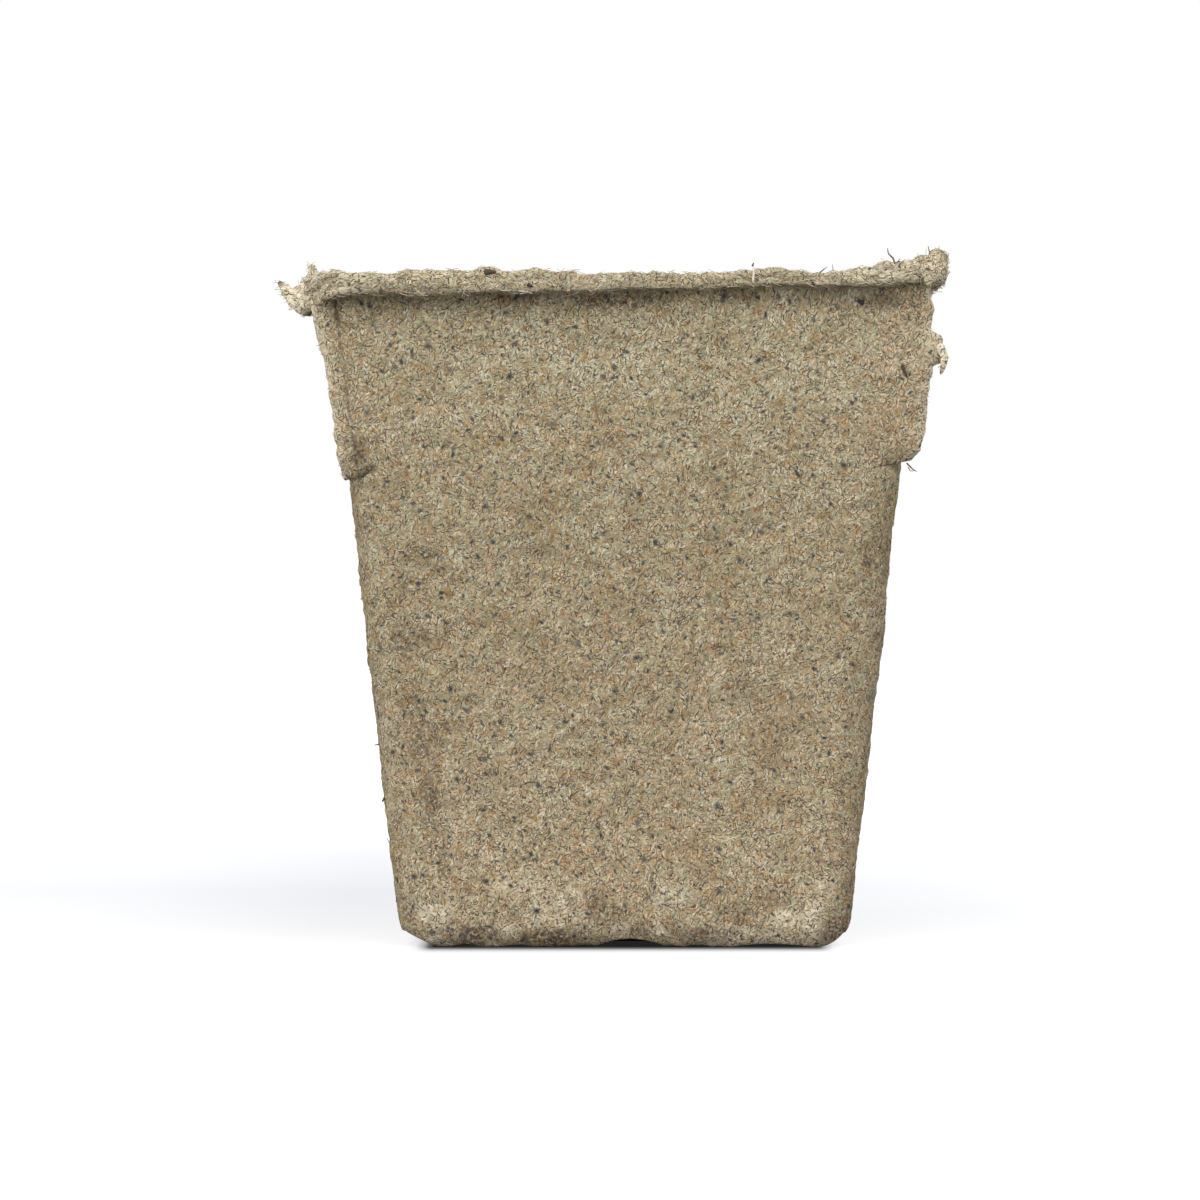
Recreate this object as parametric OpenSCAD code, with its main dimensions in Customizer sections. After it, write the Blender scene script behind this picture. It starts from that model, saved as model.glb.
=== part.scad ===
// Square seedling pot of felted wood fibre, torn off a strip of joined pots.
// Millimetres. The origin is the centre of the underside, +Z is up and the front face looks along -Y.
// The felt is one moulding. It is split here along its own folds and mitres: a floor, four walls,
// a flange of four torn strips, and the four webs that used to join the pot to its neighbours.

/* [Body] */
// Height to the top of the flat rim
pot_h = 84; // [72:0.5:100]
// Outside width of the body just under the rim
mouth_w = 73.8; // [66:0.2:84]
// Outside width of the body at the floor, before its edge is rounded
base_w = 56.8; // [48:0.2:64]
// Outside radius of the upright corners
corner_r = 5; // [4:0.25:8]
// Thickness of the felt wall
wall_t = 2; // [1.6:0.1:2.6]

/* [Floor] */
// Thickness of the floor, which is also the radius of its rounded bottom edge
floor_t = 2.6; // [2:0.1:3.2]
// Radius of the drain hole
drain_r = 4; // [2.5:0.25:6]
// Width of the drain notch under the middle of each side
notch_w = 9.4; // [6:0.2:12]
// Height of the drain notch
notch_h = 1.1; // [0.6:0.1:1.6]
// Length of the drain notch from the outer edge inwards
notch_l = 12; // [8:0.5:15]

/* [Rim] */
// Thickness of the flange
rim_t = 2.5; // [1.8:0.1:3.2]
// How far the flange stands out from the wall
rim_reach = 3.1; // [2:0.1:5]
// Depth of the tears along the torn edges
tear = 0.35; // [0.1:0.05:0.6]
// How far the front right corner curls up
curl_up = 3.6; // [0:0.2:5]
// How far the left side droops near the front
droop = 2.6; // [0:0.2:4]
// Extra reach of the torn tongue on the left side
tongue = 2.6; // [0:0.2:4]

/* [Webs] */
// Height of the torn webs, down from the rim
web_h = 21; // [12:0.5:30]
// Thickness of the webs
web_t = 1.6; // [1.2:0.1:2]
// How far a web stands out past the side of the body, at its top
web_top = 1.8; // [1:0.1:3]
// How far a web stands out past the side of the body, at its foot
web_foot = 1.2; // [0.8:0.1:2]
// How much lower the foot of a web lies at the body than at its torn edge
web_slant = 1.6; // [0:0.1:3]
// How far the torn nib on the front right web stands out
nib = 1.7; // [0:0.1:2.5]

/* [Hidden] */

felt = "#9e9176";
torn_felt = "#b3a88f";

// The sides by number, counted round from the front, and the two ends of a side as it is faced
FRONT = 0;
RIGHT = 1;
BACK = 2;
LEFT = 3;
LEFT_END = -1;
RIGHT_END = 1;

wall_top = pot_h - rim_t;
draft = atan((mouth_w - base_w) / 2 / wall_top);
inner_r = corner_r - wall_t;
// A side runs from -1 to 1 between its mitres. This much of it is straight, and the rest is half a corner each end
straight = 0.84;
corner_steps = 5;
wall_runs = side_runs(1);
rim_runs = side_runs(22);
edge_steps = 6;
// A web starts this far past the line where the wall's flat turns into its round corner
web_lap = 1.2;
web_points = 12;
// A little more than nothing, to carry a cut clear past a face
past = 1;

// Half the outside width of the body at a height
function half_at(z) = base_w / 2 + (mouth_w - base_w) / 2 * z / wall_top;

// A repeatable raggedness from -1 to 1 along the torn edges
function ragged(p, seed) =
    0.5 * sin(p * 1370 + seed * 71) + 0.3 * sin(p * 3110 + seed * 53) + 0.2 * sin(p * 7330 + seed * 29);

// 1 at the place c of the way round, falling to 0 at w to either side; the way round is 4 sides long
function swell(p, c, w) =
    let (away = abs((p - c + 6) % 4 - 2) / w)
    away < 1 ? pow(cos(90 * away), 2) : 0;

// The stations of one side, from the mitre at its left end to the one at its right end
function side_runs(flat_steps) = [
    for (i = [0 : corner_steps - 1]) -1 + (1 - straight) * i / corner_steps,
    for (i = [0 : flat_steps]) straight * (2 * i / flat_steps - 1),
    for (i = [1 : corner_steps]) straight + (1 - straight) * i / corner_steps
];

// A point on a rounded square of half width h and corner radius r, at station run of side number k
function side_point(k, run, h, r, z) =
    let (
        turn = 45 * max(0, abs(run) - straight) / (1 - straight),
        along = sign(run) * (min(abs(run) / straight, 1) * (h - r) + r * sin(turn)),
        out = h - r + r * cos(turn)
    )
    [along * cos(90 * k) + out * sin(90 * k), along * sin(90 * k) - out * cos(90 * k), z];

// A whole ring of side points at one height
function ring(h, r, z) = [
    for (k = [FRONT : LEFT])
        for (i = [0 : len(wall_runs) - 2])
            side_point(k, wall_runs[i], h, r, z)
];

// How far round the pot a station is: side number plus the share of that side
function way_round(k, run) = k + (run + 1) / 2;

// How far the flange stands out there, with its tears and the tongue on the left side
function rim_out(p) = rim_reach + tear * ragged(p, 1) + tongue * swell(p, 3.84, 0.2);

// How far its outer edge is bent up there, with the curl, the droop and a slow wave
function rim_lift(p) =
    curl_up * swell(p, 1.06, 0.2) - droop * swell(p, 3.82, 0.34)
        + tear * (0.7 * sin(p * 420) + 0.4 * ragged(p, 2));

// A strip of felt along one side, skinned over its cross sections
module skin(sections) {
    points = len(sections[0]);
    last = len(sections) - 1;
    sides = [
        for (s = [0 : last - 1])
            for (i = [0 : points - 1])
                let (a = s * points + i, b = s * points + (i + 1) % points)
                each [[a, b, b + points], [a, b + points, a + points]]
    ];
    start_cap = [[for (i = [points - 1 : -1 : 0]) i]];
    end_cap = [[for (i = [0 : points - 1]) last * points + i]];
    polyhedron([for (s = sections) each s], concat(sides, start_cap, end_cap), convexity = 6);
}

// A solid skinned over closed rings, from the lowest to the highest
module ring_solid(rings) {
    points = len(rings[0]);
    last = len(rings) - 1;
    sides = [
        for (s = [0 : last - 1])
            for (i = [0 : points - 1])
                let (a = s * points + i, b = s * points + (i + 1) % points)
                each [[a, b + points, b], [a, a + points, b + points]]
    ];
    lowest = [[for (i = [0 : points - 1]) i]];
    highest = [[for (i = [points - 1 : -1 : 0]) last * points + i]];
    polyhedron([for (r = rings) each r], concat(sides, lowest, highest), convexity = 6);
}

// The outside of the body as a full block, without the rounding of its bottom edge
module body_block() {
    ring_solid([ring(half_at(0), corner_r, 0), ring(half_at(wall_top), corner_r, wall_top)]);
}

// A notch under the middle of one side, an arch in section, that lets water out sideways
module drain_notch(k) {
    arch_r = (pow(notch_w / 2, 2) + pow(notch_h, 2)) / (2 * notch_h);
    rotate([0, 0, 90 * k])
        translate([0, notch_l - half_at(0), notch_h - arch_r])
            rotate([90, 0, 0])
                cylinder(r = arch_r, h = notch_l + past, $fn = 96);
}

// The floor, a plate whose bottom edge is rounded all round. The walls stand on it
module floor_plate() {
    color(felt)
        difference() {
            ring_solid([
                for (i = [0 : edge_steps])
                    let (turn = 90 * i / edge_steps, z = floor_t * (1 - cos(turn)), in = floor_t * (1 - sin(turn)))
                    ring(half_at(z) - in, corner_r - in, z)
            ]);
            translate([0, 0, -past])
                cylinder(r = drain_r, h = floor_t + 2 * past, $fn = 64);
            for (k = [FRONT : LEFT])
                drain_notch(k);
        }
}

// One wall, mitred at the middle of its two rounded corners
module wall(k) {
    color(felt)
        skin([
            for (run = wall_runs) [
                side_point(k, run, half_at(floor_t), corner_r, floor_t),
                side_point(k, run, half_at(wall_top), corner_r, wall_top),
                side_point(k, run, half_at(wall_top) - wall_t, inner_r, wall_top),
                side_point(k, run, half_at(floor_t) - wall_t, inner_r, floor_t)
            ]
        ]);
}

// One strip of the flange. It lies on top of a wall and ends outside in a torn edge
module rim(k) {
    h = half_at(wall_top);
    color(torn_felt)
        skin([
            for (run = rim_runs)
                let (p = way_round(k, run), out = rim_out(p), lift = rim_lift(p)) [
                    side_point(k, run, h - wall_t, inner_r, wall_top),
                    side_point(k, run, h, corner_r, wall_top),
                    side_point(k, run, h + out, corner_r + out, wall_top + lift),
                    side_point(k, run, h + out, corner_r + out, pot_h + lift),
                    side_point(k, run, h, corner_r, pot_h),
                    side_point(k, run, h - wall_t, inner_r, pot_h)
                ]
        ]);
}

// The torn outer edge of a web at a share of its height, from 0 at its foot to 1 at the rim
function web_edge(share, seed, bump) =
    let (z = wall_top - web_h * (1 - share))
    half_at(z) + web_foot + (web_top - web_foot) * share + tear * ragged(share / 2, seed)
        + bump * swell(share, 0.68, 0.16);

// The outline of a web in the plane of its wall, drawn for the right end of the wall
module web_outline(seed, bump) {
    slope = 1 / cos(draft);
    foot_z = wall_top - web_h;
    polygon([
        [half_at(foot_z) - corner_r + web_lap, (foot_z - web_slant) * slope],
        for (i = [0 : web_points])
            [web_edge(i / web_points, seed, bump), (foot_z + web_h * i / web_points) * slope],
        [web_edge(1, seed, bump), (wall_top + past) * slope],
        [half_at(wall_top) - corner_r + web_lap, (wall_top + past) * slope]
    ]);
}

// A web goes on from the flat of the front or back wall, past the round corner, to where it was torn
module web(k, end, seed, bump = 0) {
    color(torn_felt)
        rotate([0, 0, 90 * k])
            difference() {
                translate([0, -base_w / 2, 0])
                    rotate([90 + draft, 0, 0])
                        translate([0, 0, -web_t])
                            linear_extrude(web_t)
                                mirror([end == LEFT_END ? 1 : 0, 0])
                                    web_outline(seed, bump);
                body_block();
                translate([-mouth_w, -mouth_w, wall_top])
                    cube([2 * mouth_w, 2 * mouth_w, 2 * past]);
            }
}

floor_plate();  // floor
wall(FRONT);  // front_wall
wall(RIGHT);  // right_wall
wall(BACK);  // back_wall
wall(LEFT);  // left_wall
rim(FRONT);  // rim_front
rim(RIGHT);  // rim_right
rim(BACK);  // rim_back
rim(LEFT);  // rim_left
web(FRONT, LEFT_END, 3);  // web_front_left
web(FRONT, RIGHT_END, 5, nib);  // web_front_right
web(BACK, LEFT_END, 7);  // web_back_right
web(BACK, RIGHT_END, 11);  // web_back_left
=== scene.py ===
"""Looks of a square seedling pot of felted wood fibre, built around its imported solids.

Lengths are in millimetres until a mesh is made, where MM turns them into Blender's metres.
"""
from functools import partial

import bpy
import bmesh
import numpy as np
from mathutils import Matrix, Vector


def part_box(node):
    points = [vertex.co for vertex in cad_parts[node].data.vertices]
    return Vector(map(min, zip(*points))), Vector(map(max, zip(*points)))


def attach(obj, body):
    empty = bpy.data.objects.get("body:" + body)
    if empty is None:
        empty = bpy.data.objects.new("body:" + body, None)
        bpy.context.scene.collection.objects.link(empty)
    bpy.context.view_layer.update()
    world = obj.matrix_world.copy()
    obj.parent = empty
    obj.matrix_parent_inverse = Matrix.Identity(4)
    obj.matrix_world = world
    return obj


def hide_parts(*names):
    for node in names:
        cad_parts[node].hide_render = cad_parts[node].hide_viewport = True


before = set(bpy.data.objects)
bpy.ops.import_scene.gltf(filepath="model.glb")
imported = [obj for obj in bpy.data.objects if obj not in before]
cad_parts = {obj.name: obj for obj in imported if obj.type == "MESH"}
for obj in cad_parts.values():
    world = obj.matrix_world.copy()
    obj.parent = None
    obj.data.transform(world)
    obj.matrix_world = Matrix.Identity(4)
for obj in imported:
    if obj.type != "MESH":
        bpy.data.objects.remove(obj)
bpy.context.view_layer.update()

# Sizes of the pot, read from the solids or repeated from them
MM = 0.001


def box_mm(cad_node):
    """The low and the high corner of a solid."""
    low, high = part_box(cad_node)
    return np.array(low) / MM, np.array(high) / MM


FLOOR_T = box_mm("floor")[1][2]
FOOT_HALF = box_mm("floor")[1][0]
WALL_TOP = box_mm("front_wall")[1][2]
MOUTH_HALF = -box_mm("front_wall")[0][1]
TAPER = (MOUTH_HALF - FOOT_HALF) / (WALL_TOP - FLOOR_T)
CORNER_R = 5.0
WALL_T = 2.0
RIM_T = 2.5
WEB_T = 1.6
WEB_H = 21.0
DRAIN_R = 4.0
# The drain notch and the shallower gaps under each side: place along the side, width and height
GAPS = ((0.7, 9.4, 1.1), (18.5, 10.0, 0.45), (-19.9, 3.8, 0.45), (-13.5, 5.0, 0.3))
# How far in under the pot they reach, and over what length they run out
GAP_L = 12.0
GAP_FADE = 4.0
# The body draws in this far towards its foot, from this height down
TUCK = 0.7
TUCK_H = 8.0
# How far the bottom edge rounds in
FOOT_IN = 1.6
# Rounding under the flange, inside at the floor, and of the flange's own edges
FLARE_R = 0.9
FILLET_R = 2.2
LIP_R = 0.9
# How far the flange's lower edge lies behind its upper one, and how its faces curve out to them
LIP_LEAN = 0.42
LIP_CURVE = 1.4

FRONT, RIGHT, BACK, LEFT = range(4)
SIDES = {"front": FRONT, "right": RIGHT, "back": BACK, "left": LEFT}
# Cosine and sine of each side's turn from the front, and how many sides lie before it round the pot
SIDE_TURNS = ((1, 0), (0, 1), (-1, 0), (0, -1))
SIDES_BEFORE = (0, 1, 2, -1)
# How high two edges of the foot are worn up, how far in from the side, and how hollow the wear is
WORN = {LEFT: (1.9, 4.6, 1.2), RIGHT: (1.7, 3.4, 2.2)}
# How far in front of the middle the wear begins, and where it is full
WORN_FROM, WORN_FULL = 8, 20
# A side runs from -1 to 1 between its mitres, and this much of it is straight
STRAIGHT = 0.84


def held(values):
    """Values held between 0 and 1."""
    return np.clip(values, 0, 1)


def fading(values, gone, full):
    """From 0 where values are at gone to 1 where they are at full, and level beyond both."""
    return held((values - gone) / (full - gone))


def half_at(z):
    """Half the outside width of the body at a height."""
    return FOOT_HALF + TAPER * (z - FLOOR_T) - TUCK * held(1 - z / TUCK_H) ** 2


def side_runs(flat_steps, corner_steps):
    """Stations along one side, from mitre to mitre."""
    flat = np.linspace(-STRAIGHT, STRAIGHT, flat_steps + 1)
    corner = np.linspace(STRAIGHT, 1, corner_steps + 1)[1:]
    return np.concatenate([-corner[::-1], flat, corner])


OUTSIDE_RUNS = side_runs(210, 14)
INSIDE_RUNS = side_runs(90, 6)
UNDER_RUNS = side_runs(40, 6)


def turned(side, x, y):
    """A vector given for the front, turned to another side."""
    cos, sin = SIDE_TURNS[side]
    return np.stack(np.broadcast_arrays(cos * x - sin * y, sin * x + cos * y), -1)


def outline(side, run, half, radius):
    """Place, outward direction and length round the pot, on a rounded square, at stations of a side."""
    run, half, radius = np.broadcast_arrays(run, half, radius)
    turn = np.pi / 4 * np.clip(np.abs(run) - STRAIGHT, 0, None) / (1 - STRAIGHT)
    flat = (half - radius) * np.minimum(np.abs(run) / STRAIGHT, 1)
    along = np.sign(run) * (flat + radius * np.sin(turn))
    out = half - radius + radius * np.cos(turn)
    place = turned(side, along, -out)
    facing = turned(side, np.sin(np.sign(run) * turn), -np.cos(turn))
    side_length = 2 * (half - radius + radius * np.pi / 4)
    length = np.sign(run) * (flat + radius * turn) + side_length * SIDES_BEFORE[side]
    return place, facing, length


def in_space(place, z):
    """Points in space from places on a plan and heights."""
    return np.concatenate([place, np.broadcast_to(z, place.shape[:-1])[..., None]], -1)


def tilted(facing, tilt):
    """Directions in space from directions on a plan and angles above the horizon."""
    tilt = np.broadcast_to(tilt, facing.shape[:-1])[..., None]
    return np.concatenate([facing * np.cos(tilt), np.sin(tilt)], -1)


# Repeatable lumpiness, from a hash of each cell's place and of a seed
HASH_PLACE = np.array([2376512323, 3625334849, 3407524639])
HASH_SEED = 2654435769
HASH_ROUNDS = ((15, 739982445), (12, 695872825), (15, 1))
HASH_MOST = 0xFFFFFFFF


def lumps(points, cell, seed):
    """Smooth noise from -1 to 1 with lumps about one cell across; a cell may differ along each axis."""
    grid = points / np.asarray(cell, float)
    whole = np.floor(grid)
    part = grid - whole
    part = part * part * (3 - 2 * part)
    whole = whole.astype(np.int64)
    total = np.zeros(points.shape[:-1])
    for corner in np.ndindex(2, 2, 2):
        key = (whole + corner) * HASH_PLACE
        mixed = (key[..., 0] ^ key[..., 1] ^ key[..., 2] ^ (seed * HASH_SEED)) & HASH_MOST
        for shift, factor in HASH_ROUNDS:
            mixed = ((mixed ^ (mixed >> shift)) * factor) & HASH_MOST
        weight = np.prod(np.where(corner, part, 1 - part), -1)
        total += weight * mixed / HASH_MOST
    return 2 * total - 1


def lumps_along(distance, cell, seed):
    """The same noise along a line."""
    return lumps(np.stack([distance, 0 * distance, 0 * distance], -1), cell, seed)


def layered(points, layers):
    """Lumps of several sizes: the height, size across and seed of each."""
    return sum(height * lumps(points, size, seed) for height, size, seed in layers)


# Slow waves, lumps and pits of pressed felt
FELT_LUMPS = ((0.20, 13, 1), (0.12, 4.1, 2), (0.11, 1.7, 3), (0.10, 0.85, 4))
PIT_SIZE, PIT_SEED = FELT_LUMPS[-1][1:]
# The inside has less relief and fewer loose fibres than the outside
INSIDE_RELIEF = 0.8
INSIDE_FUZZ = 0.3
# The other skins take their fibres from other places of the felt, so that none repeats the outside
INSIDE_MAP, UNDER_MAP, TOP_MAP = 200, 400, 600


def felt_relief(points):
    """How far pressed felt stands proud of its true surface."""
    return layered(points, FELT_LUMPS)


def placed(name, data):
    """Puts a mesh, a lamp or a camera into the scene."""
    thing = bpy.data.objects.new(name, data)
    bpy.context.scene.collection.objects.link(thing)
    return thing


# Marks that the felt carries to its materials and to its loose fibres, with the value where none is given
MARKS = {"torn": 0.0, "stain": 0.0, "pale": 0.0, "fuzz": 0.0, "tone": 0.0, "grain": (0.0, 0.0, 0.0)}
# Faces that meet more sharply are shaded apart, so that a hidden joint doesn't shade the skin beside it
SEAM_ANGLE = np.radians(65)


class Felt:
    """A closed mesh that is put together from grids of points and from strips between their edges."""

    def __init__(self):
        self.points, self.maps, self.faces = [], [], []
        self.marks = {name: [] for name in MARKS}
        self.count = 0

    def add(self, points, felt_map, **marks):
        """Adds a grid of points, with their place on the felt in millimetres, and returns their numbers."""
        shape = points.shape[:-1]
        self.points.append(points.reshape(-1, 3))
        self.maps.append(np.broadcast_to(felt_map, shape + (2,)).reshape(-1, 2))
        for name, otherwise in MARKS.items():
            tail = np.shape(otherwise)
            values = np.broadcast_to(marks.get(name, otherwise), shape + tail)
            self.marks[name].append(values.reshape((-1,) + tail))
        numbers = np.arange(self.count, self.count + points.size // 3).reshape(shape)
        self.count += numbers.size
        return numbers

    def grid(self, numbers):
        """Skins a grid of points with quads."""
        quads = np.stack([numbers[:-1, :-1], numbers[1:, :-1], numbers[1:, 1:], numbers[:-1, 1:]], -1)
        self.faces += quads.reshape(-1, 4).tolist()

    def strip(self, one, other):
        """Joins two rows of points, which may differ in number, with triangles."""
        i = j = 0
        last_i, last_j = len(one) - 1, len(other) - 1
        while i < last_i or j < last_j:
            step_one = j == last_j or (i < last_i and (i + 1) * last_j <= (j + 1) * last_i)
            tip = one[i + 1] if step_one else other[j + 1]
            self.faces.append([int(one[i]), int(tip), int(other[j])])
            i, j = (i + 1, j) if step_one else (i, j + 1)

    def tube(self, rings):
        """Skins rings of points into a tube and closes both its ends."""
        self.grid(np.concatenate([rings, rings[:, :1]], 1))
        for end in (rings[0], rings[-1]):
            self.faces.append(end.tolist())

    def make(self, name, material):
        """Makes the piece, with its map of the felt and its marks."""
        mesh = bpy.data.meshes.new(name)
        mesh.from_pydata((np.concatenate(self.points) * MM).tolist(), [], self.faces)
        corners = np.zeros(len(mesh.loops), np.int32)
        mesh.loops.foreach_get("vertex_index", corners)
        felt_map = mesh.uv_layers.new(name="felt_mm")
        felt_map.data.foreach_set("uv", np.concatenate(self.maps)[corners].astype(np.float32).ravel())
        for mark, otherwise in MARKS.items():
            single = np.shape(otherwise) == ()
            layer = mesh.attributes.new(mark, "FLOAT" if single else "FLOAT_VECTOR", "POINT")
            values = np.concatenate(self.marks[mark]).astype(np.float32).ravel()
            layer.data.foreach_set("value" if single else "vector", values)
        shell = bmesh.new()
        shell.from_mesh(mesh)
        bmesh.ops.recalc_face_normals(shell, faces=shell.faces)
        shell.to_mesh(mesh)
        shell.free()
        mesh.shade_smooth()
        mesh.set_sharp_from_angle(angle=SEAM_ANGLE)
        mesh.materials.append(material)
        return placed(name, mesh)


def closed(numbers):
    """A row of points that goes all the way round, with its first point again at its end."""
    return np.concatenate([numbers, numbers[:1]])


SHRED_STEPS, SHRED_AROUND = 18, 12


def shred(felt, path, widths, thickness, seed, tip=0.0, **marks):
    """Adds a small torn scrap along a path: its width lies across the path as seen from the front.

    The last quarter of the scrap is stained, as strongly as tip says.
    """
    place = np.linspace(0, len(path) - 1, SHRED_STEPS)
    knots = np.arange(len(path))
    middle = np.stack([np.interp(place, knots, axis) for axis in np.array(path, float).T], -1)
    ahead = np.gradient(middle, axis=0)
    across = np.stack([ahead[:, 2], 0 * ahead[:, 0], -ahead[:, 0]], -1)
    across /= np.linalg.norm(across, axis=1, keepdims=True)
    deep = np.array([0, 1.0, 0])
    angle = np.linspace(0, 2 * np.pi, SHRED_AROUND, endpoint=False)[None, :, None]
    # Both ends are blunt
    taper = np.sqrt(held(1 - (2 * np.linspace(0.02, 0.98, SHRED_STEPS) - 1) ** 6))
    wide = (np.interp(place, knots, widths) * taper)[:, None, None] / 2
    ring = np.cos(angle) * across[:, None] * wide + np.sin(angle) * deep * wide * thickness
    points = middle[:, None] + ring
    swollen = 1 + 0.3 * lumps(points, 0.9, seed) + 0.1 * lumps(points, 0.4, seed + 1)
    points = middle[:, None] + ring * swollen[..., None]
    stain = tip * held(4 * place[:, None] / place[-1] - 3)
    felt.tube(felt.add(points, points[..., [0, 2]], stain=stain, **marks))


# How the flange's top and underside rise, how far it reaches, where it is paler, and how torn its edge is:
# fully along the two sides that were torn from neighbours. Places count in sides from the front left mitre
RIM_TOP = ((0.04, 0.2), (0.13, 0.05), (0.18, 0.5), (0.3, 0.8), (0.34, 0.75), (0.38, 0.4), (0.49, 0.1),
           (0.56, 0.55), (0.62, 0.4), (0.74, 0.8), (0.85, 0.5), (0.88, 1.3), (0.92, 1.5), (0.98, 2.1),
           (1.03, 3.6), (1.07, 3.5), (1.15, 2.4), (1.25, 1.8), (1.45, 0.8), (2, 0.2), (3, 0.1),
           (3.7, -0.3), (3.9, -1.3), (3.95, -1.0), (3.985, 0.2))
RIM_LOW = ((0.03, 0.0), (0.2, 0.2), (0.46, 0.6), (0.65, 1.05), (0.83, 1.3), (0.95, 1.7), (1, 1.7),
           (1.08, 1.6), (1.25, 1.8), (1.45, 0.8), (2, 0.2), (3, 0), (3.7, -0.4), (3.92, -2.0),
           (3.97, -1.5), (4, -0.8))
RIM_OUT = ((0.1, 3.1), (0.5, 3.1), (0.63, 2.3), (0.78, 2.3), (0.88, 3.1), (1.05, 3.4), (1.3, 3.1),
           (2, 3), (3, 3.1), (3.75, 3.1), (3.88, 4.2), (3.96, 4.0))
RIM_PALE = ((0.03, 0), (0.85, 0), (0.97, 1.6), (1.05, 1.6), (1.15, 0), (3.95, 0), (3.98, 1.2))
RIM_TEAR = ((0.12, 0.2), (0.8, 0.25), (0.98, 1), (1.97, 1), (2.1, 0.3), (2.9, 0.3), (3.02, 1), (4.02, 1))
# Length of a side along the flange, for lumps that run round it
RIM_SIDE = 74


def at_place(table, p):
    """A value round the pot from a short table of places and values."""
    places, values = zip(*table)
    return np.interp(p, places, values, period=4)


def rim_low(p):
    """Height of the flange's underside at its lip."""
    return at_place(RIM_LOW, p) + 0.2 * lumps_along(p * RIM_SIDE, 3.1, 14)


def rim_root(p):
    """Height of the flange's underside at the walls, which rise to it."""
    return np.clip(0.9 * rim_low(p), 0, None)


# The walls, from the floor's top to the flange
# Spots of the front that came out paler or darker: across, up, half width and half height, and how strong
PALE_SPOTS = ((-24.8, 4.5, 1.9, 1.3, 1.0), (-23.9, 4.2, 4.0, 2.2, 0.4), (-23.5, 1.0, 2.5, 0.6, 0.5),
              (-13.5, 8.0, 3.0, 1.2, 0.4), (-14.7, 2.3, 0.9, 1.3, 0.6), (-0.6, 2.2, 1.0, 0.8, 0.9),
              (6.0, 6.3, 2.4, 1.6, 0.7), (4.4, 1.8, 1.2, 0.7, 0.7), (20.2, 3.6, 2.0, 1.2, 0.8),
              (23.6, 3.6, 1.6, 1.9, 0.9), (25.0, 7.6, 1.2, 1.2, 0.7))
DARK_SPOTS = ((-27.2, 3.8, 0.7, 0.6, 0.7), (-22.6, 10.0, 0.8, 0.8, 0.4), (-21.2, 3.0, 0.8, 0.6, 0.6),
              (-18.8, 1.8, 2.6, 1.2, 1.0), (-9.4, 1.2, 4.4, 1.0, 0.8), (-3.5, 4.9, 1.3, 1.5, 0.6),
              (-1.2, 4.9, 0.8, 0.8, 0.4), (9.5, 1.6, 3.0, 1.1, 0.5), (14.5, 3.8, 1.0, 1.2, 0.4),
              (17.4, 6.5, 1.0, 1.0, 0.4), (26.5, 2.4, 1.5, 1.4, 0.6), (28.5, 6.5, 0.8, 3.0, 0.4),
              (-32.0, 60.1, 0.7, 0.5, 1.0), (-33.2, 62.6, 1.0, 1.5, 0.6), (-35.9, 80.0, 0.9, 1.3, 0.4),
              (30.1, 48.4, 0.7, 0.5, 0.9), (14.0, 33.0, 2.0, 1.4, 0.3), (-2.6, 81.0, 3.6, 0.7, 0.6),
              (-13.0, 81.2, 2.5, 0.5, 0.5), (31.5, 80.9, 2.2, 0.9, 0.5), (-24.8, 48.8, 2.6, 1.4, 0.4),
              (-26.5, 39.2, 2.4, 1.2, 0.45), (-25.3, 26.3, 2.6, 2.4, 0.35), (-24.4, 19.6, 1.3, 1.7, 0.45),
              (-22.3, 11.8, 2.0, 1.2, 0.4))
# A spot's strength in its middle, before it is held to 1, how fast it falls outwards, and its ragged edge
SPOT_MIDDLE = 1.6
SPOT_FALL = 1.1
SPOT_LUMPS = ((0.5, 1.4, 45), (0.4, 0.6, 46))
# Heights where stains and paler patches are gone and full: at the foot, and from the walls' top down, where
# stains and painted shade of the flange darken the wall
FOOT_STAIN, FOOT_PALE = (9, 2), (13, 5)
RIM_STAIN_AND_SHADE = (-2.5, 0)
# How far in from the left side a painted highlight lies on its corners' ridge, and painted shade on the
# crease beyond it, with their reach
RIDGE_IN, RIDGE_REACH = 2.1, 1.0
CREASE_IN, CREASE_REACH = 5.7, 1.4
# The walls follow the flange up and down over this height
WALL_RISE = 4.0
# How much of a quarter turn the skin makes under the flange, beyond its taper
FLARE_TURN = 0.93
# Rows of points up a wall, and round each of its bends
OUTSIDE_ROWS, INSIDE_ROWS, BEND_ROWS = 270, 110, 9


def near_spots(points, spots):
    """How far points of the front lie within ragged spots, from 0 to their strength."""
    ragged = layered(points, SPOT_LUMPS)
    total = np.zeros(points.shape[:-1])
    for across, up, wide, high, strength in spots:
        away = np.hypot((points[..., 0] - across) / wide, (points[..., 2] - up) / high)
        total = np.maximum(total, strength * held(SPOT_MIDDLE - SPOT_FALL * away + ragged))
    return np.where(points[..., 1] < -half_at(0) / 2, total, 0)


def along_left(points, inside, reach):
    """How near points lie to a line up the pot, this far in from its left side, fading out over a reach."""
    return np.exp(-(((half_at(points[..., 2]) + points[..., 0] - inside) / reach) ** 2))


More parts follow.
